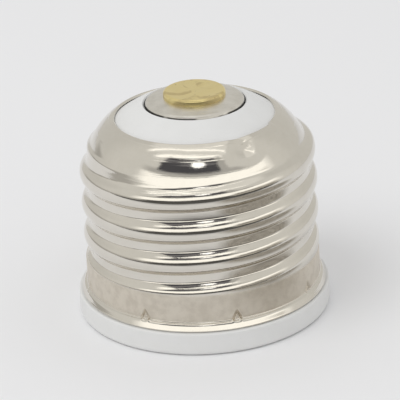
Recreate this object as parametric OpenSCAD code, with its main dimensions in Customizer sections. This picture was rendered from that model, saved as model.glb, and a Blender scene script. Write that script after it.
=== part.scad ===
// Lamp socket adapter: a medium Edison screw plug outside, a candelabra Edison socket inside.
// It stands on the face of its white flange, which is z = 0. The plug end with its contact points up.
// Angles are counted from +X, counter-clockwise as seen from above.

/* [Screw shell] */
// Outside radius of the shell over the thread crests
thread_r = 13.05; // [12.9:0.01:13.2]
// Depth of the thread groove
thread_depth = 0.75; // [0.5:0.05:0.9]
// Pitch of the large thread
thread_pitch = 3.629; // [3.3:0.001:3.9]
// Length of the threaded part between skirt and shoulder
thread_len = 11.0; // [10.5:0.1:11.5]
// Height of the crest that stands at 180 degrees above the thread's start
crest_up = 10.45; // [9.6:0.05:11]
// Height over which the lowest groove fades in
thread_fade = 1.3; // [0.8:0.1:2]
// Sheet thickness of the shell
shell_t = 0.3; // [0.2:0.01:0.4]
// How far the plain skirt lies inside the thread crests
skirt_in = 0.05; // [0:0.01:0.15]
// Height of the plain skirt above the lip
skirt_h = 2.7; // [2.4:0.1:3.2]
// How far the lip that sits on the flange stands out from the skirt
lip_out = 0.65; // [0.5:0.05:0.8]
// Height of the lip
lip_h = 0.8; // [0.65:0.05:1.1]
// How far the shoulder curves inward from the bottom of the groove
shoulder_in = 3.35; // [3.2:0.05:3.6]
// Rise of the shoulder
shoulder_rise = 5.5; // [5.2:0.05:5.8]
// How early the shoulder's curve draws in, where 1 is an ellipse
shoulder_bow = 1.6; // [1.45:0.05:1.7]
// Angle along the shoulder curve where the curled edge ends
curl_lat = 83.5; // [80:0.5:85]
// Height above the shoulder's start where the thread begins to run out
runout_up = 1.65; // [1.4:0.05:1.9]
// Height over which the thread runs out
runout_h = 1.15; // [0.9:0.05:1.5]

/* [Shoulder dimple] */
// Angle of the punched dimple
dimple_ang = 302; // [285:1:315]
// Angle of the dimple's height along the shoulder curve
dimple_lat = 58; // [55:1:60]
// Depth of the dimple
dimple_depth = 0.45; // [0.3:0.05:0.5]
// Radius of the dimple
dimple_size = 1.15; // [1:0.05:1.3]

/* [Insulator] */
// How far the flange stands out past the shell's lip
flange_out = 0.35; // [0.2:0.05:0.6]
// Thickness of the flange
flange_h = 2.6; // [2.2:0.05:3.2]
// Rounding of the flange's outer face edge
flange_round = 0.5; // [0.3:0.05:0.8]
// Rounding of the flange's edge beside the shell
flange_back_round = 0.2; // [0.1:0.05:0.25]
// Rounding at the edge of the socket mouth
mouth_round = 0.3; // [0.2:0.05:0.4]
// Gap between the insulator and the screw shell around it
shell_gap = 0.09; // [0.05:0.01:0.12]
// Height of the raised white crown above the curled edge
crown_rise = 1.8; // [1.6:0.05:2]
// Height of the floor's underside above the start of the shoulder
floor_up = 1.5; // [1.3:0.05:1.7]

/* [Socket sleeve] */
// Inside radius of the smooth sleeve
sleeve_r = 8.7; // [8.4:0.05:8.9]
// Sheet thickness of the sleeve and the small screw shell
sleeve_t = 0.3; // [0.2:0.01:0.35]
// How far the rolled lip is sunk into the mouth
lip_sink = 0.9; // [0.6:0.05:1.2]
// Thickness of the rolled lip
roll_t = 0.6; // [0.5:0.05:0.7]
// Depth at which the sleeve starts to narrow
neck_z = 5.0; // [4.4:0.1:5.4]
// Angle of the neck's cone from the axis
neck_ang = 55; // [45:1:60]
// Bend radius where the sleeve turns inward
neck_round = 0.9; // [0.7:0.05:1.1]
// Bend radius where the neck meets the small screw shell
throat_round = 0.7; // [0.6:0.05:0.9]
// Gap between the sleeve and the bore around it
sleeve_gap = 0.1; // [0.05:0.01:0.15]
// Gap between the small screw shell and the bore around it
small_gap = 0.17; // [0.1:0.01:0.25]
// Angle of the sheet's seam
seam_ang = 118; // [100:1:140]
// Depth where the seam starts to open
seam_z = 3.6; // [3:0.1:5]
// Width of the seam at the deep end
seam_w = 0.4; // [0.3:0.05:0.8]

/* [Small thread] */
// Inside radius of the small thread at its widest
small_r = 6.03; // [6:0.01:6.1]
// Depth of the small thread's ridges
small_depth = 0.6; // [0.4:0.05:0.7]
// Pitch of the small thread
small_pitch = 2.54; // [2.4:0.01:2.7]
// Gap between the end of the small screw shell and the floor
small_end_gap = 1.7; // [1.4:0.1:2]

/* [Contact end] */
// Radius of the contact cup
cup_r = 5.45; // [5.2:0.05:5.7]
// Height of the cup's rounded edge above the crown
cup_stand = 0.29; // [0.25:0.01:0.4]
// Rounding of the cup's edge
cup_round = 0.45; // [0.4:0.01:0.5]
// Sheet thickness of the cup
cup_t = 0.35; // [0.3:0.05:0.4]
// Depth of the cup's rim below its rounded edge
cup_depth = 0.95; // [0.7:0.05:1.1]
// Rise of the cup's cone from its edge to the rivet head
cup_rise = 0.32; // [0.2:0.02:0.4]
// Gap around the cup in its recess
cup_gap = 0.14; // [0.1:0.01:0.2]
// Radius of the rivet head
head_r = 3.4; // [3.2:0.05:3.6]
// Thickness of the rivet head
head_h = 0.7; // [0.6:0.05:1]
// Rounding of the rivet head's edge
head_round = 0.3; // [0.2:0.05:0.4]
// Radius of the rivet shank
shank_r = 1.5; // [1.3:0.05:1.7]
// Gap between the shank and the holes it passes through
shank_gap = 0.05; // [0.03:0.01:0.1]
// Radius of the rivet's closed tail
tail_r = 2.3; // [2:0.05:2.5]
// Thickness of the tail
tail_h = 0.5; // [0.4:0.05:0.6]

/* [Contact tongue] */
// Width of the folded tongue
tongue_w = 4.2; // [3.8:0.1:4.6]
// Thickness of its strip
tongue_t = 0.35; // [0.25:0.05:0.4]
// Radius of the strip's centre line round the fold
fold_r = 1.05; // [1:0.05:1.2]
// Distance of the fold's centre from the axis
fold_x = 2.9; // [2.8:0.05:3.1]
// Length of the leaf under the floor on its far side
base_leaf = 3.4; // [3:0.1:3.8]
// How far the free leaf dips at the axis
tongue_dip = 0.45; // [0.3:0.05:0.6]

/* [Link strip] */
// Width of the strip that joins the two screw shells
link_w = 2.6; // [2.2:0.1:3]
// Thickness of the strip
link_t = 0.3; // [0.2:0.05:0.35]
// Length of the strip's foot on the small shell below the floor
link_foot = 5.6; // [4.6:0.1:6.5]
// Length of the strip's foot over the floor's underside
link_over = 0.4; // [0.3:0.05:0.5]
// Gap between the strip and the slot it runs in
link_gap = 0.25; // [0.15:0.05:0.3]

/* [Hidden] */

sides = 48;
small_sides = 36;
step_per_turn = 8;
small_step_per_turn = 6;
eps = 0.01;

// Radii of the large screw shell and the flange
thread_low_r = thread_r - thread_depth;
skirt_r = thread_r - skirt_in;
lip_r = skirt_r + lip_out;
flange_r = lip_r + flange_out;
shoulder_c = thread_low_r - shoulder_in;

// Heights, stacked up from the face of the flange
lip_top_z = flange_h + lip_h;
thread_start_z = lip_top_z + skirt_h;
crest_z = thread_start_z + crest_up;
shoulder_z = thread_start_z + thread_len;
floor_z = shoulder_z + floor_up;
small_end_z = floor_z - small_end_gap;
link_foot_z = floor_z - link_foot;

thread_rings = ceil((shoulder_z - thread_start_z) / thread_pitch * step_per_turn);
shoulder_rings = 15;

// Height and width that an angle along the shoulder gives
function sh_r(lat) = shoulder_c + shoulder_in * pow(cos(lat), shoulder_bow);
function sh_z(lat) = shoulder_z + shoulder_rise * sin(lat);
// Unit normal of the shoulder at that angle
function sh_n(lat) =
    let (x = shoulder_rise * cos(lat),
        y = shoulder_in * shoulder_bow * pow(cos(lat), shoulder_bow - 1) * sin(lat),
        m = sqrt(x * x + y * y))
    [x / m, y / m];
curl_r = sh_r(curl_lat);

function smooth(t) = let (u = min(1, max(0, t))) u * u * (3 - 2 * u);
// Height of the thread's ridge above the bottom of the groove
function ridge(z, ang) =
    thread_depth / 2 * (1 + cos(360 * (z - crest_z) / thread_pitch - (ang - 180)));
function thread_at(z, ang) =
    let (t = smooth((z - thread_start_z) / thread_fade))
    skirt_r * (1 - t) + t * (thread_low_r + ridge(z, ang));
function runout(z) = 1 - smooth((z - shoulder_z - runout_up) / runout_h);

// Distance over the sheet from the dimple's centre, along the turn and along the curve
dimple_r = sh_r(dimple_lat);
dimple_z = sh_z(dimple_lat);
function turn_gap(ang) = let (d = abs(ang - dimple_ang)) min(d, 360 - d) * PI / 180 * dimple_r;
function dimple_at(r, z, ang) =
    dimple_depth * exp(-pow(norm([turn_gap(ang), r - dimple_r, z - dimple_z]) / dimple_size, 2) * 1.2);

// Stations up the sheet: radius, height, normal, and 1 on the thread or 2 on the shoulder
lip_stations = [
    [lip_r - 0.1, flange_h, 1, 0, 0],
    [lip_r, flange_h + 0.12, 1, 0, 0],
    [lip_r, lip_top_z - 0.3, 1, 0, 0],
    [lip_r - 0.12, lip_top_z - 0.1, 0.8, 0.6, 0],
    [skirt_r + 0.12, lip_top_z + 0.12, 0.9, 0.4, 0],
    [skirt_r, lip_top_z + 0.5, 1, 0, 0],
    [skirt_r, (lip_top_z + thread_start_z) / 2, 1, 0, 0]
];
thread_stations = [for (i = [0:thread_rings - 1])
    [skirt_r, thread_start_z + i * (shoulder_z - thread_start_z) / thread_rings, 1, 0, 1]];
shoulder_stations = [for (i = [0:shoulder_rings])
    let (lat = curl_lat * i / shoulder_rings, n = sh_n(lat))
    [sh_r(lat), sh_z(lat), n[0], n[1], 2]];
stations = concat(lip_stations, thread_stations, shoulder_stations);

// A point of the sheet at a station, sunk by the given depth along the normal
function sheet_pt(s, ang, sink) =
    let (base = s[4] == 1 ? thread_at(s[1], ang) : s[0],
        up = s[4] == 2 ? ridge(s[1], ang) * runout(s[1]) : 0,
        d = sink - up + (s[4] == 0 ? 0 : dimple_at(s[0], s[1], ang)),
        r = base - d * s[2],
        z = s[1] - d * s[3])
    [r * cos(ang), r * sin(ang), z];

// Triangles of a closed band of rings, each ring with n points, counted round as a tube of m rings
function band_faces(m, n) = [for (i = [0:m - 1]) for (j = [0:n - 1])
    let (i2 = (i + 1) % m, j2 = (j + 1) % n, a = i * n + j, b = i * n + j2, c = i2 * n + j2, d = i2 * n + j)
    each [[a, d, c], [a, c, b]]];

module outer_shell() {
    last = len(stations) - 1;
    outside = [for (s = stations) for (j = [0:sides - 1]) sheet_pt(s, 360 * j / sides, 0)];
    inside = [for (i = [last:-1:0]) for (j = [0:sides - 1]) sheet_pt(stations[i], 360 * j / sides, shell_t)];
    faces = band_faces(2 * len(stations), sides);
    color([0.78, 0.77, 0.74])
    polyhedron(points = concat(outside, inside), faces = faces, convexity = 10);
}

// Insulator, one white moulding
in_skirt_r = skirt_r - shell_t - shell_gap;
in_thread_r = thread_low_r - shell_t - shell_gap;
in_c = shoulder_c;
in_a = shoulder_in - shell_t - shell_gap - 0.1;
in_b = shoulder_rise - shell_t - shell_gap - 0.05;
recess_r = cup_r + cup_gap;
crown_z = sh_z(curl_lat) - shell_t - shell_gap + crown_rise;
cup_edge_z = crown_z + cup_stand;
recess_z = cup_edge_z - cup_depth;
sleeve_bore_r = sleeve_r + sleeve_t + sleeve_gap;
mouth_r = sleeve_r + sleeve_t + roll_t / 2 + sleeve_gap;
seat_z = lip_sink + roll_t;
small_bore_r = small_r + sleeve_t + small_gap;

// Line of the neck, offset outward from the sheet's inner face
neck_fall = sleeve_r - small_r - (neck_round + throat_round) * (1 - cos(neck_ang));
neck_end_z = neck_z + (neck_round + throat_round) * sin(neck_ang) + neck_fall / tan(neck_ang);
function neck_line(out) = concat(
    arc(sleeve_r - neck_round, neck_z, neck_round + out, 0, neck_ang, 5),
    arc(small_r + throat_round, neck_end_z, throat_round - out, 180 + neck_ang, 180, 5));
function turned(list) = [for (i = [len(list) - 1:-1:0]) list[i]];

head_z = cup_edge_z + cup_rise;
hole_r = shank_r + shank_gap;

// Points along an arc in n steps
function arc(x, z, r, from, to, n) =
    [for (i = [0:n]) let (a = from + (to - from) * i / n) [x + r * cos(a), z + r * sin(a)]];

in_shoulder = [for (i = [0:8])
    let (lat = curl_lat * i / 8)
    [in_c + in_a * pow(cos(lat), shoulder_bow), shoulder_z + in_b * sin(lat)]];
crown_edge = in_shoulder[8];
crown_in_r = recess_r + 0.15;
crown = [for (i = [1:6])
    let (t = i / 6, rise = 1.25 * t - 0.25 * t * t)
    [crown_edge[0] + (crown_in_r - crown_edge[0]) * t, crown_edge[1] + (crown_z - crown_edge[1]) * rise]];

module insulator_section() {
    round_r = flange_r - flange_round;
    back_r = flange_r - flange_back_round;
    polygon(concat(
        arc(mouth_r + mouth_round, mouth_round, mouth_round, 180, 270, 6),
        arc(round_r, flange_round, flange_round, -90, 0, 6),
        arc(back_r, flange_h - flange_back_round, flange_back_round, 0, 90, 4),
        [[in_skirt_r, flange_h], [in_skirt_r, thread_start_z - 0.6], [in_thread_r, thread_start_z - 0.1]],
        [[in_thread_r, shoulder_z - 0.8]],
        in_shoulder,
        crown,
        [[recess_r, crown_z - 0.12], [recess_r, recess_z], [head_r - 0.2, recess_z]],
        [[head_r - 0.4, head_z - cup_t], [hole_r, head_z - cup_t], [hole_r, floor_z]],
        [[small_bore_r, floor_z], [small_bore_r, neck_end_z]],
        turned(neck_line(sleeve_t + sleeve_gap)),
        [[sleeve_bore_r, seat_z], [mouth_r, seat_z]]
    ));
}

// Slot that the link strip runs through
link_foot_r = small_r + sleeve_t + 0.03;
link_z = floor_z + link_over;
slot_w = link_w + 2 * link_gap;
pocket_r = curl_r - 0.2;
pocket_w = max(slot_w, 3.05 * dimple_size);

module link_slot() {
    slot_top = link_z + link_t + link_gap;
    foot_out = link_foot_r + link_t + link_gap;
    foot_low = link_foot_z - link_gap;
    rotate([0, 0, dimple_ang]) {
        translate([small_bore_r - 1, -slot_w / 2, foot_low])
            cube([foot_out - small_bore_r + 1, slot_w, slot_top - foot_low]);
        translate([small_bore_r - 1, -slot_w / 2, floor_z])
            cube([thread_r - small_bore_r + 1, slot_w, slot_top - floor_z]);
        translate([pocket_r, -pocket_w / 2, floor_z])
            cube([thread_r - pocket_r, pocket_w, shoulder_rise]);
    }
}

module insulator_body() {
    color([0.9, 0.9, 0.89])
    difference() {
        rotate_extrude($fn = 96) insulator_section();
        link_slot();
    }
}

// Smooth sleeve with a rolled lip, narrowing to the small screw shell
join_h = 0.25;
join_in = 0.05;
small_rings = ceil((small_end_z - neck_end_z) / small_pitch * small_step_per_turn);

function small_wave(z, ang) = 0.5 - 0.5 * cos(360 * (z - neck_end_z) / small_pitch - ang);
function small_fade(z) = smooth((z - neck_end_z - 0.35) / 0.9) * smooth((small_end_z - z) / 0.6);
function small_at(z, ang) = small_r - small_depth * small_wave(z, ang) * small_fade(z);

module sleeve_section() {
    roll_z = lip_sink + roll_t / 2;
    polygon(concat(
        arc(sleeve_r + roll_t / 2, roll_z, roll_t / 2, 270, 180, 6),
        neck_line(0),
        [[small_r, neck_end_z + join_h], [small_r + sleeve_t, neck_end_z + join_h]],
        turned(neck_line(sleeve_t)),
        [[sleeve_r + sleeve_t, seat_z]],
        arc(sleeve_r + sleeve_t, roll_z, roll_t / 2, 90, -90, 8)
    ));
}

// Heights of the rings, and how far each is drawn in from both faces where it leaves the neck
thread_from = neck_end_z + join_h + 0.1;
small_levels = concat(
    [[neck_end_z + 0.05, join_in], [neck_end_z + join_h + 0.05, join_in]],
    [for (k = [0:small_rings]) [thread_from + (small_end_z - thread_from) * k / small_rings, 0]]);

function small_pt(level, j, out) =
    let (ang = 360 * j / small_sides, r = small_at(level[0], ang) + (out ? sleeve_t - level[1] : level[1]))
    [r * cos(ang), r * sin(ang), level[0]];

module small_thread() {
    n = len(small_levels);
    outside = [for (k = [0:n - 1]) for (j = [0:small_sides - 1]) small_pt(small_levels[k], j, true)];
    inside = [for (k = [n - 1:-1:0]) for (j = [0:small_sides - 1]) small_pt(small_levels[k], j, false)];
    faces = band_faces(2 * n, small_sides);
    polyhedron(points = concat(outside, inside), faces = faces, convexity = 10);
}

module seam_cut() {
    deep = small_end_z + 1;
    rotate([0, 0, seam_ang])
    translate([small_r - 1.5, 0, 0])
    rotate([90, 0, 90])
    linear_extrude(sleeve_r + 2)
        polygon([[0, seam_z], [seam_w / 2, deep], [-seam_w / 2, deep]]);
}

module inner_shell() {
    color([0.76, 0.76, 0.76])
    difference() {
        union() {
            rotate_extrude($fn = 96) sleeve_section();
            small_thread();
        }
        seam_cut();
    }
}

module contact_cup() {
    c_r = cup_r - cup_round;
    c_z = cup_edge_z - cup_round;
    color([0.74, 0.74, 0.72])
    rotate_extrude($fn = 96)
    polygon(concat(
        [[hole_r, head_z - cup_t], [head_r, head_z - cup_t]],
        arc(c_r, c_z, cup_round - cup_t, 90, 0, 6),
        [[cup_r - cup_t, recess_z], [cup_r, recess_z]],
        arc(c_r, c_z, cup_round, 0, 90, 6),
        [[head_r, head_z], [hole_r, head_z]]
    ));
}

module centre_rivet() {
    top = head_z + head_h;
    tail_z = floor_z - tongue_t;
    color([0.82, 0.72, 0.42])
    rotate_extrude($fn = 96)
    polygon(concat(
        [[0, tail_z - tail_h], [tail_r - 0.2, tail_z - tail_h], [tail_r, tail_z - tail_h + 0.2]],
        [[tail_r, tail_z], [shank_r, tail_z], [shank_r, head_z], [head_r, head_z]],
        arc(head_r - head_round, top - head_round, head_round, 0, 90, 5),
        [[0, top]]
    ));
}

// Both sides of a strip of thickness t that follows a line of points
function unit(v) = v / norm(v);
function side_at(p, i, h) =
    let (a = i == 0 ? p[1] - p[0] : p[i] - p[i - 1],
        b = i == len(p) - 1 ? a : p[i + 1] - p[i],
        m = unit(unit(a) + unit(b)))
    p[i] + [-m[1], m[0]] * h / max(0.4, m * unit(a));
function strip(p, t) = concat(
    [for (i = [0:len(p) - 1]) side_at(p, i, t / 2)],
    [for (i = [len(p) - 1:-1:0]) side_at(p, i, -t / 2)]);

module contact_tongue() {
    base_z = floor_z - tongue_t / 2;
    fold = arc(fold_x, base_z - fold_r, fold_r, 90, -90, 10);
    free_z = base_z - 2 * fold_r;
    leaf = [[0.6, free_z - tongue_dip], [-0.6, free_z - tongue_dip], [-base_leaf + 1.2, free_z + 0.15]];
    path = concat([[-base_leaf, base_z]], fold, leaf);
    color([0.8, 0.64, 0.36])
    difference() {
        rotate([90, 0, 0])
        translate([0, 0, -tongue_w / 2])
        linear_extrude(tongue_w)
            polygon(strip(path, tongue_t));
        translate([0, 0, floor_z - tongue_t - 0.1])
            cylinder(r = hole_r, h = tongue_t + 0.2, $fn = 48);
    }
}

// Strip that joins the small screw shell to the large one at the dimple
touch_n = sh_n(dimple_lat);
touch_sink = dimple_depth + shell_t + link_t / 2 + 0.03;
touch = [dimple_r - touch_sink * touch_n[0], dimple_z - touch_sink * touch_n[1]];

module link_strip() {
    along = [touch_n[1], -touch_n[0]];
    foot_mid = link_foot_r + link_t / 2;
    over_z = link_z + link_t / 2;
    low = touch + along * 0.9;
    high = touch - along * 0.35;
    path = [[foot_mid, link_foot_z], [foot_mid, over_z - 0.5], [foot_mid + 0.15, over_z - 0.15],
        [foot_mid + 0.5, over_z], [low[0] - 0.4, over_z], [low[0] - 0.05, over_z + 0.25], low, high];
    color([0.8, 0.66, 0.38])
    rotate([0, 0, dimple_ang])
    rotate([90, 0, 0])
    translate([0, 0, -link_w / 2])
    linear_extrude(link_w)
        polygon(strip(path, link_t));
}

outer_shell();
insulator_body();
inner_shell();
contact_cup();
centre_rivet();
contact_tongue();
link_strip();
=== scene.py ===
from math import asin, cos, degrees, pi, radians, sin, sqrt, tan

import bpy
import numpy as np
from mathutils import Euler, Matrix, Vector


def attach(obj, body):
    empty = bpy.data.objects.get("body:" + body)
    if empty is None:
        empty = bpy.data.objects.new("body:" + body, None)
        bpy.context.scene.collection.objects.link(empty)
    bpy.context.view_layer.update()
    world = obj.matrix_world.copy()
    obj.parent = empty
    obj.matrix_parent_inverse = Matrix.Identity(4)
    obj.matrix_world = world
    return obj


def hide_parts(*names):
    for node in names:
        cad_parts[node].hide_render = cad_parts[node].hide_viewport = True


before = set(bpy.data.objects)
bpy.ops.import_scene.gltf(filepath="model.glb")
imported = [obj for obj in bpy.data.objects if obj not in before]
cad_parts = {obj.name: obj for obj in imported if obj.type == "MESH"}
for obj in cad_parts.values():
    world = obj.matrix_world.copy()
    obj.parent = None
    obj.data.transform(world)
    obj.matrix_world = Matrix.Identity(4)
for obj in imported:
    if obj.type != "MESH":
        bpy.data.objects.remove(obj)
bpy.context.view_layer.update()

MM = 0.001

# camera
CAM_AT = Vector((13.555, -247.70, 119.74)) * MM
CAM_TURN = (66.533, 2.819, 1.909)
LENS, SENSOR, CLIP_NEAR, CLIP_FAR = 220.0, 36.0, 0.005, 10.0

cam_data = bpy.data.cameras.new("camera")
cam_data.sensor_width = SENSOR
cam_data.lens = LENS
cam_data.clip_start = CLIP_NEAR
cam_data.clip_end = CLIP_FAR
cam = bpy.data.objects.new("camera", cam_data)
cam.location = CAM_AT
cam.rotation_euler = Euler([radians(a) for a in CAM_TURN], "XYZ")
bpy.context.scene.collection.objects.link(cam)
bpy.context.scene.camera = cam
bpy.context.scene.view_settings.view_transform = "Standard"


# node helper
class Net:
    """Short calls that add nodes to one tree and give back their sockets."""

    def __init__(self, tree):
        self.tree = tree
        tree.nodes.clear()

    def put(self, kind, ins=(), named=None, **props):
        node = self.tree.nodes.new(kind)
        for key, value in props.items():
            setattr(node, key, value)
        pairs = list(enumerate(ins)) + list((named or {}).items())
        for key, value in pairs:
            if value is None:
                continue
            socket = node.inputs[key]
            if isinstance(value, bpy.types.NodeSocket):
                self.tree.links.new(value, socket)
            else:
                socket.default_value = value
        return node

    def math(self, op, *ins):
        return self.put("ShaderNodeMath", ins, operation=op).outputs[0]

    def add(self, a, b):
        return self.math("ADD", a, b)

    def sub(self, a, b):
        return self.math("SUBTRACT", a, b)

    def mul(self, a, b):
        return self.math("MULTIPLY", a, b)

    def step(self, v, lo, hi, to_lo=0.0, to_hi=1.0):
        return self.put("ShaderNodeMapRange", (v, lo, hi, to_lo, to_hi),
                        interpolation_type="SMOOTHSTEP").outputs[0]

    def band(self, v, lo, hi, soft):
        return self.mul(self.step(v, lo - soft, lo + soft),
                        self.step(v, hi - soft, hi + soft, 1.0, 0.0))

    def mix(self, fac, a, b):
        return self.put("ShaderNodeMix", named={0: fac, 6: a, 7: b}, data_type="RGBA").outputs[2]

    def noise(self, vec, scale, detail=3.0, rough=0.5, bend=0.0):
        return self.put("ShaderNodeTexNoise", named={
            "Vector": vec, "Scale": scale, "Detail": detail, "Roughness": rough,
            "Distortion": bend}).outputs[0]

    def split(self, vec):
        return self.put("ShaderNodeSeparateXYZ", (vec,)).outputs

    def join(self, x, y, z):
        return self.put("ShaderNodeCombineXYZ", (x, y, z)).outputs[0]

    def bump(self, height, distance, strength=1.0, under=None):
        return self.put("ShaderNodeBump", named={
            "Strength": strength, "Distance": distance, "Height": height,
            "Normal": under}).outputs[0]


def rgb(r, g, b):
    """An sRGB colour of 0 to 255 as the linear colour that a node takes."""
    out = []
    for v in (r, g, b):
        v /= 255.0
        out.append(v / 12.92 if v <= 0.04045 else ((v + 0.055) / 1.055) ** 2.4)
    return (*out, 1.0)


# world and lamp
SKY = 0.775            # strength that lights the matt surfaces
PALE = rgb(234, 234, 235)

world = bpy.data.worlds.new("studio")
world.use_nodes = True
bpy.context.scene.world = world
w = Net(world.node_tree)
dx, dy, dz = w.split(w.put("ShaderNodeTexCoord").outputs["Generated"])
elev = w.mul(w.math("ARCSINE", dz), 180.0 / pi)
side = w.mul(w.math("ARCTAN2", dx, w.mul(dy, -1.0)), 180.0 / pi)


def tone(v):
    """A slightly warm grey of strength v."""
    return (v, v * 0.985, v * 0.94, 1.0)


def streaks(net, along, across):
    """Uneven streaks, long in one measure and fine in the other."""
    v = net.noise(net.join(net.mul(along, 0.02), net.mul(across, 0.16), 0.0), 1.6, 2.0)
    return net.step(v, 0.42, 0.60)


# The surroundings that the metal sees. Side is the angle round from the viewer to the right, elev
# the angle above the horizon, and lean the angle up from the front and over the top, in degrees.
# A band is (from, to, softness).
ROOM, ROOM_BEHIND, BEHIND_SIDE = tone(0.74), tone(0.66), (95.0, 130.0)
CEILING, CEILING_ELEV = tone(0.86), (58.0, 64.0)
LINE_TONE, LINE_BEND_X, LINE_BEND = tone(1.45), 0.1, 20.0
LINES = (
    ((79.0, 83.0, 0.8), (-0.55, 0.42, 0.05)),
    ((64.5, 70.5, 0.8), (-0.52, 0.34, 0.05)),
)
WINDOW_SIDE, WINDOW_ELEV = (-49.0, 31.0, 3.0), (38.0, 62.5, 1.2)
# Each area covers the ones before it: side band, elev band, cover, colour
AREAS = (
    # grey wall, then the bright panel under it
    ((-62.0, 60.0, 10.0), (30.0, 40.0, 2.0), 1.0, tone(0.50)),
    ((-62.0, 84.0, 10.0), (11.0, 31.5, 1.5), 1.0, tone(1.34)),
    # dark window, the lighter strip in it and the grey frame at its right
    (WINDOW_SIDE, WINDOW_ELEV, 1.0, (0.085, 0.083, 0.092, 1.0)),
    (WINDOW_SIDE, (51.5, 58.5, 1.0), 1.0, (0.22, 0.215, 0.225, 1.0)),
    ((31.0, 42.0, 3.0), WINDOW_ELEV, 1.0, tone(0.50)),
    # dark line at the horizon, and a fainter one at the left
    ((-52.0, 34.0, 8.0), (-1.0, 7.5, 1.6), 0.97, (0.05, 0.048, 0.045, 1.0)),
    ((-135.0, -52.0, 8.0), (-1.0, 8.0, 2.0), 0.60, (0.30, 0.29, 0.27, 1.0)),
)
SPOT_SIDE, SPOT_ELEV, SPOT_SQUEEZE, SPOT_EDGE, SPOT = 3.0, 54.0, 0.60, (7.0, 5.0), (1.7, 1.7, 1.7, 1.0)
STREAK_SIDE, STREAK_ELEV, STREAK_COVER = (34.0, 80.0, 6.0), (-4.0, 17.0, 4.0), 0.9
STREAK_PALE, STREAK_DARK = (0.52, 0.49, 0.44, 1.0), (0.22, 0.20, 0.165, 1.0)


def within(side_band, elev_band):
    return w.mul(w.band(side, *side_band), w.band(elev, *elev_band))


look = w.mix(w.step(w.math("ABSOLUTE", side), *BEHIND_SIDE), ROOM, ROOM_BEHIND)
look = w.mix(w.step(elev, *CEILING_ELEV), look, CEILING)
lean = w.mul(w.math("ARCTAN2", dz, w.mul(dy, -1.0)), 180.0 / pi)
at_left = w.math("MAXIMUM", w.sub(w.mul(dx, -1.0), LINE_BEND_X), 0.0)
lean = w.sub(lean, w.mul(at_left, LINE_BEND))
lines = [w.mul(w.band(lean, *lean_band), w.band(dx, *across)) for lean_band, across in LINES]
look = w.mix(w.math("MAXIMUM", *lines), look, LINE_TONE)
for side_band, elev_band, cover, colour in AREAS:
    look = w.mix(w.mul(within(side_band, elev_band), cover), look, colour)
off_side = w.mul(w.sub(side, SPOT_SIDE), SPOT_SQUEEZE)
off_up = w.sub(elev, SPOT_ELEV)
off = w.math("SQRT", w.add(w.mul(off_side, off_side), w.mul(off_up, off_up)))
look = w.mix(w.step(off, *SPOT_EDGE), look, SPOT)
streaked = w.mix(streaks(w, side, elev), STREAK_PALE, STREAK_DARK)
look = w.mix(w.mul(within(STREAK_SIDE, STREAK_ELEV), STREAK_COVER), look, streaked)

path = w.put("ShaderNodeLightPath").outputs
fill = w.put("ShaderNodeBackground", ((1.0, 1.0, 1.0, 1.0), SKY)).outputs[0]
shine = w.put("ShaderNodeBackground", (look, 1.0)).outputs[0]
seen = w.put("ShaderNodeBackground", (PALE, 1.0)).outputs[0]
lit = w.put("ShaderNodeMixShader", (path["Is Glossy Ray"], fill, shine)).outputs[0]
lit = w.put("ShaderNodeMixShader", (path["Is Camera Ray"], lit, seen)).outputs[0]
w.put("ShaderNodeOutputWorld", (lit,))

lamp = bpy.data.lights.new("key", "AREA")
lamp.shape = "DISK"
lamp.size = 0.45
lamp.energy = 1.0
lamp_ob = bpy.data.objects.new("key", lamp)
lamp_ob.location = (-0.30, -0.24, 0.52)
lamp_ob.rotation_euler = (-Vector(lamp_ob.location)).to_track_quat("-Z", "Y").to_euler()
lamp_ob.visible_glossy = False
bpy.context.scene.collection.objects.link(lamp_ob)


# materials
def material(name):
    mat = bpy.data.materials.new(name)
    mat.use_nodes = True
    net = Net(mat.node_tree)
    here = net.put("ShaderNodeTexCoord").outputs["Object"]
    return mat, net, here


def surface(net, **named):
    named = {key.replace("_", " "): value for key, value in named.items()}
    shader = net.put("ShaderNodeBsdfPrincipled", named=named)
    net.put("ShaderNodeOutputMaterial", (shader.outputs[0],))


def polar(net, here):
    """Radius in millimetres, turn in degrees and height in millimetres, as sockets."""
    x, y, z = net.split(here)
    r = net.mul(net.math("SQRT", net.add(net.mul(x, x), net.mul(y, y))), 1000.0)
    turn = net.mul(net.math("ARCTAN2", y, x), 180.0 / pi)
    return r, turn, net.mul(z, 1000.0)


def nickel():
    mat, n, here = material("nickel_plate")
    r, _, z = polar(n, here)
    x, y, _ = n.split(here)
    broad = n.noise(here, 260.0, 2.0)
    cloud = n.noise(here, 900.0, 4.0, 0.6)
    grain = n.noise(here, 9000.0, 2.0)
    drawn = n.noise(n.join(n.mul(x, 60.0), n.mul(y, 60.0), n.mul(z, 9.0)), 1.0, 3.0)
    skirt = n.mul(n.step(z, 6.5, 6.9, 1.0, 0.0), n.step(z, 3.50, 3.66))
    tint = n.mix(cloud, (0.710, 0.675, 0.610, 1.0), (0.765, 0.735, 0.675, 1.0))
    worn = n.mix(n.step(cloud, 0.35, 0.7), (0.74, 0.685, 0.595, 1.0), (0.66, 0.605, 0.52, 1.0))
    colour = n.mix(skirt, tint, worn)
    gloss = n.add(0.035, n.mul(drawn, 0.05))
    satin = n.add(0.36, n.mul(cloud, 0.16))
    rough = n.add(n.mul(gloss, n.sub(1.0, skirt)), n.mul(satin, skirt))
    shape = n.bump(broad, 0.00003)
    shape = n.bump(grain, 0.000002, 1.0, shape)
    shape = n.bump(drawn, 0.000003, 1.0, shape)
    spun = n.add(n.band(r, 9.40, 9.50, 0.07), n.mul(n.band(r, 10.70, 10.80, 0.07), 0.5))
    shape = n.bump(n.mul(spun, n.step(z, 20.5, 21.0)), 0.000014, 1.0, shape)
    surface(n, Base_Color=colour, Metallic=1.0, Roughness=rough, Normal=shape)
    return mat


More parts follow.
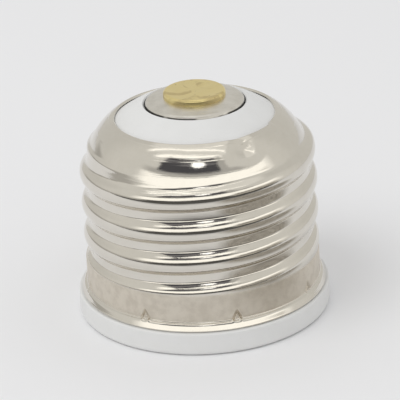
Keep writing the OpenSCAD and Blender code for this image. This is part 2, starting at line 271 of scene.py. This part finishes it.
def marks_on_face(n, r, turn, z):
    """Plain printed marks on the ring face: short ticks and two turn arrows."""
    cell = n.math("PINGPONG", turn, 7.5)
    tick = n.mul(n.step(n.mul(n.mul(cell, r), pi / 180.0), 0.10, 0.13, 1.0, 0.0),
                 n.band(r, 12.35, 12.95, 0.03))
    half = n.math("PINGPONG", n.add(turn, 90.0), 180.0)
    along = n.math("ABSOLUTE", n.sub(half, 90.0))
    line = n.mul(n.band(r, 11.38, 11.54, 0.03), n.step(along, 29.0, 29.3, 1.0, 0.0))
    reach = n.mul(n.sub(n.sub(half, 90.0), 28.0), 0.2)
    wide = n.sub(0.62, n.mul(reach, 0.62))
    head = n.mul(n.step(n.sub(n.math("ABSOLUTE", n.sub(r, 11.46)), wide), -0.02, 0.02, 1.0, 0.0),
                 n.step(reach, 0.0, 0.02))
    both = n.math("MAXIMUM", tick, n.math("MAXIMUM", line, head))
    return n.mul(both, n.step(z, 0.03, 0.05, 1.0, 0.0))


def white_moulding():
    mat, n, here = material("white_moulding")
    r, turn, z = polar(n, here)
    cloud = n.noise(here, 420.0, 3.0)
    speck = n.step(n.noise(here, 3800.0, 1.0), 0.74, 0.80)
    fine = n.noise(here, 5200.0, 3.0)
    white = n.mix(cloud, rgb(222, 222, 220), rgb(229, 229, 228))
    white = n.mix(n.mul(speck, 0.20), white, rgb(176, 172, 164))
    printed = marks_on_face(n, r, turn, z)
    colour = n.mix(n.mul(printed, 0.86), white, rgb(38, 38, 40))
    rough = n.add(0.38, n.mul(cloud, 0.14))
    shape = n.bump(cloud, 0.00002)
    shape = n.bump(fine, 0.0000025, 1.0, shape)
    surface(n, Base_Color=colour, Metallic=0.0, Roughness=rough, Normal=shape)
    return mat


def sheet_metal(name, light, dark, rough_lo, rough_hi, foot=None):
    """Satin sheet with marks that run round the axis, and painted shade below the height foot: a near
    black band, broken by noise, for the shadowed gap round the cup.
    """
    mat, n, here = material(name)
    r, turn, z = polar(n, here)
    rings = n.noise(n.join(n.mul(r, 7.0), n.mul(z, 7.0), n.mul(turn, 0.01)), 1.0, 3.0)
    cloud = n.noise(here, 700.0, 4.0, 0.6)
    colour = n.mix(n.step(cloud, 0.3, 0.7), light, dark)
    if foot:
        # painted shade: below the foot the colour goes near black in uneven patches, standing in for
        # the dark gap between the cup and its recess
        gap_shade = n.mul(n.step(z, foot + 0.05, foot), n.step(n.noise(here, 260.0, 2.0), 0.40, 0.48))
        colour = n.mix(n.mul(gap_shade, 0.9), colour, (0.045, 0.042, 0.038, 1.0))
    rough = n.add(rough_lo, n.mul(n.add(n.mul(rings, 0.5), n.mul(cloud, 0.5)), rough_hi - rough_lo))
    shape = n.bump(n.noise(here, 300.0, 2.0), 0.00002)
    shape = n.bump(rings, 0.000003, 1.0, shape)
    surface(n, Base_Color=colour, Metallic=1.0, Roughness=rough, Normal=shape)
    return mat


def brass_head():
    mat, n, here = material("rivet_brass")
    cloud = n.noise(here, 420.0, 4.0, 0.6, 0.6)
    # brownish grey patches over the head, rougher where they lie
    brown_patch = n.step(n.noise(here, 300.0, 3.0, 0.5, 1.2), 0.50, 0.60)
    pits = n.step(n.noise(here, 2600.0, 2.0), 0.68, 0.74)
    colour = n.mix(cloud, (0.90, 0.76, 0.38, 1.0), (0.80, 0.67, 0.31, 1.0))
    colour = n.mix(n.mul(brown_patch, 0.55), colour, (0.56, 0.45, 0.25, 1.0))
    colour = n.mix(n.mul(pits, 0.4), colour, (0.30, 0.22, 0.10, 1.0))
    rough = n.add(0.30, n.mul(brown_patch, 0.18))
    shape = n.bump(cloud, 0.00003)
    shape = n.bump(pits, 0.000006, -1.0, shape)
    surface(n, Base_Color=colour, Metallic=1.0, Roughness=rough, Normal=shape)
    return mat


NICKEL = nickel()
WHITE = white_moulding()
LINER = sheet_metal("liner_sheet", (0.74, 0.74, 0.73, 1.0), (0.66, 0.66, 0.65, 1.0), 0.26, 0.44)
# the cup gets painted shade below 23.99 mm, where it sits in the gap to its recess
CUP = sheet_metal("cup_nickel", (0.80, 0.775, 0.72, 1.0), (0.70, 0.675, 0.62, 1.0), 0.30, 0.46,
                  foot=23.99)
BRASS = brass_head()
STRIP = sheet_metal("strip_bronze", (0.72, 0.52, 0.27, 1.0), (0.60, 0.42, 0.20, 1.0), 0.24, 0.38)
STRIP_B = sheet_metal("strip_brass", (0.76, 0.62, 0.32, 1.0), (0.66, 0.52, 0.25, 1.0), 0.24, 0.38)


# mesh helpers
def smooth(t):
    u = np.clip(t, 0.0, 1.0)
    return u * u * (3 - 2 * u)


def arc(x, z, r, start, stop, n):
    return [(x + r * cos(radians(start + (stop - start) * i / n)),
             z + r * sin(radians(start + (stop - start) * i / n))) for i in range(n + 1)]


def through(points, per):
    """Points on a smooth curve through the given ones, per steps between neighbours."""
    p = [np.array(q, float) for q in points]
    out = []
    for i in range(len(p) - 1):
        a, b, c, d = p[max(i - 1, 0)], p[i], p[i + 1], p[min(i + 2, len(p) - 1)]
        for k in range(per):
            t = k / per
            out.append(0.5 * (2 * b + (c - a) * t + (2 * a - 5 * b + 4 * c - d) * t * t
                              + (3 * b - a - 3 * c + d) * t ** 3))
    out.append(p[-1])
    return [tuple(q) for q in out]


def piece(name, verts, faces, mat, node, sharp):
    """Add one mesh as a visible piece in place of the CAD node; edges over sharp degrees stay sharp."""
    mesh = bpy.data.meshes.new(name)
    mesh.from_pydata([tuple(v) for v in np.asarray(verts) * MM], [], faces)
    mesh.update()
    mesh.shade_smooth()
    mesh.materials.append(mat)
    ob = bpy.data.objects.new(name, mesh)
    bpy.context.scene.collection.objects.link(ob)
    mesh.set_sharp_from_angle(angle=radians(sharp))
    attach(ob, "root")
    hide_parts(node)


def tube(rings, close_turn=True):
    """Vertices and faces of rings that run round as one closed loop of rings."""
    m, n = len(rings), len(rings[0])
    verts = np.concatenate(rings)
    faces = []
    for i in range(m):
        i2 = (i + 1) % m
        for j in range(n if close_turn else n - 1):
            j2 = (j + 1) % n
            faces.append((i * n + j, i * n + j2, i2 * n + j2, i2 * n + j))
    if not close_turn:
        faces.append([i * n for i in range(m)])
        faces.append([i * n + n - 1 for i in range(m)][::-1])
    return verts, faces


def lathe(profile, n):
    """Vertices and faces of a closed profile of (radius, height) turned round the axis."""
    turn = np.arange(n) * 2 * pi / n
    rings = [np.stack([r * np.cos(turn), r * np.sin(turn), np.full(n, z)], 1) for r, z in profile]
    return tube(rings)


# large screw shell
SHELL_T = 0.3
THREAD_LOW, THREAD_DEPTH, PITCH = 12.3, 0.75, 3.629
SKIRT_R, THREAD_Z, FADE, CREST_Z = 13.0, 6.1, 1.3, 16.55
SHOULDER_C, SHOULDER_Z, SHOULDER_IN, SHOULDER_RISE, SHOULDER_BOW = 8.95, 17.1, 3.35, 5.5, 1.6
CURL_LAT, RUNOUT_UP, RUNOUT_H = 83.5, 1.65, 1.15
DIMPLE_TURN, DIMPLE_LAT, DIMPLE_DEPTH, DIMPLE_SIZE = 302.0, 58.0, 0.40, 1.3
DIMPLE_R = SHOULDER_C + SHOULDER_IN * cos(radians(DIMPLE_LAT)) ** SHOULDER_BOW
DIMPLE_Z = SHOULDER_Z + SHOULDER_RISE * sin(radians(DIMPLE_LAT))
STAKES = 8
STAKE_TURNS = [18.0 + 360.0 / STAKES * k for k in range(STAKES)]
STAKE_LOW, STAKE_TOP, STAKE_HALF, STAKE_DEPTH, STAKE_WIDTH = 3.66, 4.50, 0.42, 0.20, 0.10
RIM_H, RIM_AT, RIM_WIDTH = 0.05, 0.22, 0.08
# Mesh columns over each chevron and between two, and the half turn of the fine ones in degrees
FINE_COLS, PLAIN_COLS, FINE_HALF = 16, 24, 2.9
# Mesh rings of the thread and of the shoulder, on the outside and on the coarser hidden side
THREAD_RINGS, SHOULDER_RINGS, HIDDEN_THREAD_RINGS, HIDDEN_SHOULDER_RINGS = 152, 46, 20, 12
# Small step of the curled edge: start, length and fades in degrees, then its depth
STEP_TURN, STEP_LONG, STEP_IN, STEP_OUT, STEP_DEPTH, STEP_LAT = 335.5, 59.5, 1.6, 24.0, 0.24, 60.0
# Slope of the rolled ridge in degrees, by the distance in millimetres from the middle of the groove
FLANK = [(0.0, 0.0), (0.42, 4.0), (0.50, 31.5), (0.76, 43.5), (0.97, 47.5), (1.08, 31.0),
         (PITCH / 2, 0.0)]
FLANK_U = np.linspace(0.0, PITCH / 2, 400)
FLANK_H = np.cumsum(np.tan(np.radians(np.interp(FLANK_U, *zip(*FLANK)))))
FLANK_H = (FLANK_H - FLANK_H[0]) / (FLANK_H[-1] - FLANK_H[0]) * THREAD_DEPTH


def ridge(z, turn):
    """Height of the rolled ridge above the bottom of the groove."""
    u = np.abs(((z - CREST_Z) / PITCH - (turn - 180) / 360) % 1 - 0.5) * PITCH
    return np.interp(u, FLANK_U, FLANK_H)


def thread_at(z, turn):
    t = smooth((z - THREAD_Z) / FADE)
    return SKIRT_R * (1 - t) + t * (THREAD_LOW + ridge(z, turn))


def turn_gap(turn, at):
    d = np.abs(turn - at) % 360
    return np.minimum(d, 360 - d)


def dimple(r, z, turn):
    along = np.radians(turn_gap(turn, DIMPLE_TURN)) * DIMPLE_R
    d2 = (along ** 2 + (r - DIMPLE_R) ** 2 + (z - DIMPLE_Z) ** 2) / DIMPLE_SIZE ** 2
    return DIMPLE_DEPTH * np.exp(-d2 * 1.2)


def stakes(z, turn):
    """Depth of the small stamped chevrons just above the lip."""
    depth = np.zeros_like(turn)
    leg = STAKE_TOP - STAKE_LOW
    size = sqrt(STAKE_HALF ** 2 + leg ** 2)
    for at in STAKE_TURNS:
        s = np.abs(np.radians((turn - at + 180) % 360 - 180) * SKIRT_R)
        u = np.clip((s * STAKE_HALF + (STAKE_TOP - z) * leg) / size ** 2, 0, 1)
        d = np.sqrt((s - u * STAKE_HALF) ** 2 + (STAKE_TOP - z - u * leg) ** 2)
        rim = RIM_H * np.exp(-((d - RIM_AT) / RIM_WIDTH) ** 2)
        depth += STAKE_DEPTH * np.exp(-(d / STAKE_WIDTH) ** 2) - rim
    return depth


def columns():
    """Turns of the mesh's columns: even, and closer together over each chevron."""
    marks = [(a - FINE_HALF, a + FINE_HALF) for a in STAKE_TURNS]
    out = []
    for k, (lo, hi) in enumerate(marks):
        out += list(np.linspace(lo, hi, FINE_COLS, endpoint=False))
        nxt = marks[(k + 1) % STAKES][0] + (360 if k == STAKES - 1 else 0)
        out += list(np.linspace(hi, nxt, PLAIN_COLS, endpoint=False))
    return np.array(out)


COLS = columns()


def ring_at(r, z, turn=COLS):
    a = np.radians(turn)
    return np.stack([r * np.cos(a), r * np.sin(a), z + np.zeros_like(a)], 1)


def curl_step(turn):
    """How far the curled edge steps in on the right, as the pressed sheet does."""
    t = (turn - STEP_TURN) % 360
    step = STEP_DEPTH * smooth(t / STEP_IN) * smooth((STEP_LONG - t) / STEP_OUT)
    return step - 0.03 * np.sin(np.radians(turn * 3 + 40))


LIP_LINE = through([(13.40, 2.61), (13.59, 2.64), (13.65, 2.74), (13.58, 2.89), (13.48, 3.10),
                    (13.37, 3.31), (13.25, 3.42), (13.12, 3.48), (13.03, 3.60), (13.0, 3.80)], 3)


def low_line():
    """Lip and skirt: radius, height and outward normal."""
    zs = [3.86, 3.93, 4.0, 4.08, 4.16, 4.24, 4.32, 4.40, 4.48, 4.56, 4.64, 4.8, 5.0, 5.3, 5.6,
          5.85]
    line = LIP_LINE + [(SKIRT_R, z) for z in zs]
    out = []
    for i, (r, z) in enumerate(line):
        a, b = line[max(i - 1, 0)], line[min(i + 1, len(line) - 1)]
        tr, tz = b[0] - a[0], b[1] - a[1]
        m = sqrt(tr * tr + tz * tz)
        out.append((r, z, tz / m, -tr / m))
    return out


def shell_rings(sink, coarse):
    """Rings up the sheet at that depth below its face, fewer of them where it is hidden."""
    rings = []
    low = low_line()[::4] if coarse else low_line()
    for r, z, nr, nz in low:
        cut = sink + (0 if coarse else stakes(z, COLS))
        rings.append(ring_at(r - cut * nr, z - cut * nz))
    count = HIDDEN_THREAD_RINGS if coarse else THREAD_RINGS
    for i in range(count):
        z = THREAD_Z + (SHOULDER_Z - THREAD_Z) * i / count
        base = thread_at(z, COLS)
        rings.append(ring_at(base - sink - dimple(base, z, COLS), z))
    count = HIDDEN_SHOULDER_RINGS if coarse else SHOULDER_RINGS
    for i in range(count + 1):
        lat = CURL_LAT * i / count
        c, s = cos(radians(lat)), sin(radians(lat))
        r, z = SHOULDER_C + SHOULDER_IN * c ** SHOULDER_BOW, SHOULDER_Z + SHOULDER_RISE * s
        nr, nz = SHOULDER_RISE * c, SHOULDER_IN * SHOULDER_BOW * c ** (SHOULDER_BOW - 1) * s
        m = sqrt(nr * nr + nz * nz)
        up = ridge(z, COLS) * (1 - smooth((z - SHOULDER_Z - RUNOUT_UP) / RUNOUT_H))
        d = sink + dimple(r, z, COLS) - up
        r = r - curl_step(COLS) * smooth((lat - STEP_LAT) / (CURL_LAT - STEP_LAT))
        rings.append(ring_at(r - d * nr / m, z - d * nz / m))
    return rings


def make_shell():
    outside, inside = shell_rings(0.0, False), shell_rings(SHELL_T, True)
    top, under = outside[-1], inside[-1]
    mid, half = (top + under) / 2, (top - under) / 2
    inward = -ring_at(1.0, 0.0)
    bulge = SHELL_T / 2 * 0.8
    edge = [mid + half * cos(radians(a)) + inward * bulge * sin(radians(a))
            for a in (30, 60, 90, 120, 150)]
    verts, faces = tube(outside + edge + inside[::-1])
    piece("screw_shell", verts, faces, NICKEL, "outer_shell", 50)


make_shell()

# socket sleeve and small screw shell
SLEEVE_R, SLEEVE_T, LIP_SINK, ROLL_T = 8.7, 0.3, 0.9, 0.6
NECK_Z, NECK_ANG, NECK_ROUND, THROAT_ROUND = 5.0, 55.0, 0.9, 0.7
SMALL_R, SMALL_DEPTH, SMALL_PITCH, SMALL_END_Z = 6.03, 0.6, 2.54, 16.9
SEAM_TURN, SEAM_Z, SEAM_W, SEAM_HAIR = 118.0, 3.6, 0.4, 0.04
NECK_FALL = SLEEVE_R - SMALL_R - (NECK_ROUND + THROAT_ROUND) * (1 - cos(radians(NECK_ANG)))
NECK_END_Z = (NECK_Z + (NECK_ROUND + THROAT_ROUND) * sin(radians(NECK_ANG))
              + NECK_FALL / tan(radians(NECK_ANG)))
LINER_COLS = 240


def neck_line(out, n):
    return (arc(SLEEVE_R - NECK_ROUND, NECK_Z, NECK_ROUND + out, 0, NECK_ANG, n)
            + arc(SMALL_R + THROAT_ROUND, NECK_END_Z, THROAT_ROUND - out, 180 + NECK_ANG, 180, n))


def small_ridge(z, turn):
    fade = smooth((z - NECK_END_Z - 0.35) / 0.9) * smooth((SMALL_END_Z - z) / 0.6)
    wave = np.cos(np.radians(360 * (z - NECK_END_Z) / SMALL_PITCH - turn))
    return SMALL_DEPTH * fade * (0.5 - 0.5 * wave)


def make_liner():
    roll_z = LIP_SINK + ROLL_T / 2
    inner = arc(SLEEVE_R + ROLL_T / 2, roll_z, ROLL_T / 2, 270, 180, 8)
    inner += [(SLEEVE_R, z) for z in np.linspace(1.5, 4.8, 7)] + neck_line(0, 9)
    start = NECK_END_Z + 0.1
    inner += [(SMALL_R, z) for z in np.linspace(start, SMALL_END_Z, 80)]
    outer = [(SMALL_R + SLEEVE_T, z) for z in np.linspace(SMALL_END_Z, start, 40)]
    outer += neck_line(SLEEVE_T, 5)[::-1] + [(SLEEVE_R + SLEEVE_T, 3.2), (SLEEVE_R + SLEEVE_T, 1.55)]
    outer += arc(SLEEVE_R + SLEEVE_T, roll_z, ROLL_T / 2, 80, -80, 10)
    rings = []
    for r, z in inner + outer:
        wide = max(SEAM_HAIR, SEAM_W * (z - SEAM_Z) / (SMALL_END_Z + 1 - SEAM_Z))
        half = degrees(asin(wide / 2 / r))
        turn = np.linspace(SEAM_TURN + half, SEAM_TURN + 360 - half, LINER_COLS)
        rr = r - (small_ridge(z, turn) if z > NECK_END_Z else 0)
        rings.append(ring_at(rr, z, turn))
    verts, faces = tube(rings, close_turn=False)
    piece("socket_liner", verts, faces, LINER, "inner_shell", 50)


make_liner()

# contact cup and rivet
CUP_EDGE_Z, CUP_R, CUP_ROUND, CUP_T, RECESS_Z, HEAD_Z = 24.265, 5.45, 0.45, 0.35, 23.315, 24.585
HEAD_R, HEAD_H, HEAD_ROUND, SHANK_R, HOLE_R = 3.4, 0.7, 0.3, 1.5, 1.55
FLOOR_Z, TAIL_R, TAIL_H, TONGUE_T = 18.6, 2.3, 0.5, 0.35
AXIS_R = 0.02          # innermost ring of a closed face
FLAT_R = HEAD_R - 0.2  # where the head's flat top ends


def make_cup():
    c_r, c_z = CUP_R - CUP_ROUND, CUP_EDGE_Z - CUP_ROUND
    line = [(HOLE_R, HEAD_Z - CUP_T), (HEAD_R, HEAD_Z - CUP_T)]
    line += arc(c_r, c_z, CUP_ROUND - CUP_T, 90, 0, 6)
    line += [(CUP_R - CUP_T, RECESS_Z), (CUP_R, RECESS_Z)]
    line += arc(c_r, c_z, CUP_ROUND, 0, 90, 14)
    line += [(r, HEAD_Z - down) for r, down in ((4.6, 0.24), (4.2, 0.16), (3.8, 0.08))]
    line += [(HEAD_R, HEAD_Z), (HOLE_R, HEAD_Z)]
    verts, faces = lathe(line, 192)
    piece("contact_washer", verts, faces, CUP, "contact_cup", 40)


def make_rivet():
    top, tail = HEAD_Z + HEAD_H, FLOOR_Z - TONGUE_T
    line = [(AXIS_R, tail - TAIL_H), (TAIL_R - 0.2, tail - TAIL_H), (TAIL_R, tail - TAIL_H + 0.2)]
    line += [(TAIL_R, tail), (SHANK_R, tail), (SHANK_R, HEAD_Z), (HEAD_R, HEAD_Z)]
    line += arc(HEAD_R - HEAD_ROUND, top - HEAD_ROUND, HEAD_ROUND, 0, 90, 10)
    line += [(r, top) for r in (2.8, 2.4, 2.0, 1.6, 1.2, 0.8, 0.4, AXIS_R)]
    verts, faces = lathe(line, 160)
    x, y = verts[:, 0], verts[:, 1]
    flat = (verts[:, 2] > top - 0.05) & (np.hypot(x, y) < FLAT_R)
    sag = 0.012 * (np.sin(1.9 * x + 0.7) * np.sin(1.6 * y + 0.4) + 1.0)
    sag += 0.008 * (np.sin(3.7 * x - 2.1 * y) + 1)
    verts[:, 2] -= np.where(flat, sag * np.clip((FLAT_R - np.hypot(x, y)) / 0.5, 0, 1), 0)
    piece("rivet_head", verts, faces, BRASS, "centre_rivet", 40)


make_cup()
make_rivet()

# CAD nodes that keep their mesh
for node, mat in (("insulator_body", WHITE), ("contact_tongue", STRIP), ("link_strip", STRIP_B)):
    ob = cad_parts[node]
    ob.data.materials.clear()
    ob.data.materials.append(mat)

# floor
mat, n, here = material("floor")
x, y, _ = n.split(here)
shade = n.mix(n.noise(here, 14.0, 2.0), (0.850, 0.850, 0.856, 1.0), (0.862, 0.862, 0.868, 1.0))
# What the metal sees of the floor: duller far in front, and a neighbour's dark form at the right
mirrored = n.put("ShaderNodeLightPath").outputs["Is Glossy Ray"]
ahead = n.mul(n.step(y, -0.030, -0.072), 0.94)
near_x, near_y = n.sub(x, 0.040), n.add(y, 0.028)
reach = n.math("SQRT", n.add(n.mul(near_x, near_x), n.mul(near_y, near_y)))
dark = n.mul(n.step(reach, 0.034, 0.022), 0.9)
bearing = n.math("ARCTAN2", near_y, near_x)
uneven = streaks(n, n.mul(bearing, 57.0), n.mul(reach, 4000.0))
seen_dark = n.mix(uneven, (0.46, 0.43, 0.38, 1.0), (0.20, 0.18, 0.15, 1.0))
shade = n.mix(n.mul(mirrored, ahead), shade, (0.06, 0.057, 0.052, 1.0))
shade = n.mix(n.mul(mirrored, dark), shade, seen_dark)
matt = n.put("ShaderNodeBsdfDiffuse", (shade,)).outputs[0]
clear = n.put("ShaderNodeBsdfTransparent").outputs[0]
below = n.put("ShaderNodeNewGeometry").outputs["Backfacing"]
n.put("ShaderNodeOutputMaterial", (n.put("ShaderNodeMixShader", (below, matt, clear)).outputs[0],))
FLOOR_SIDES, FLOOR_DROP, FLOOR_RADII = 64, 0.02, (13.2, 60.0, 300.0, 3000.0)
even = np.arange(FLOOR_SIDES) * 360 / FLOOR_SIDES
verts = np.concatenate([ring_at(r, -FLOOR_DROP, even) for r in FLOOR_RADII]) * MM
faces = [(i + j, i + FLOOR_SIDES + j, i + FLOOR_SIDES + (j + 1) % FLOOR_SIDES,
          i + (j + 1) % FLOOR_SIDES)
         for i in range(0, 3 * FLOOR_SIDES, FLOOR_SIDES) for j in range(FLOOR_SIDES)]
mesh = bpy.data.meshes.new("floor")
mesh.from_pydata([tuple(v) for v in verts], [], faces)
mesh.materials.append(mat)
floor = bpy.data.objects.new("floor", mesh)
bpy.context.scene.collection.objects.link(floor)
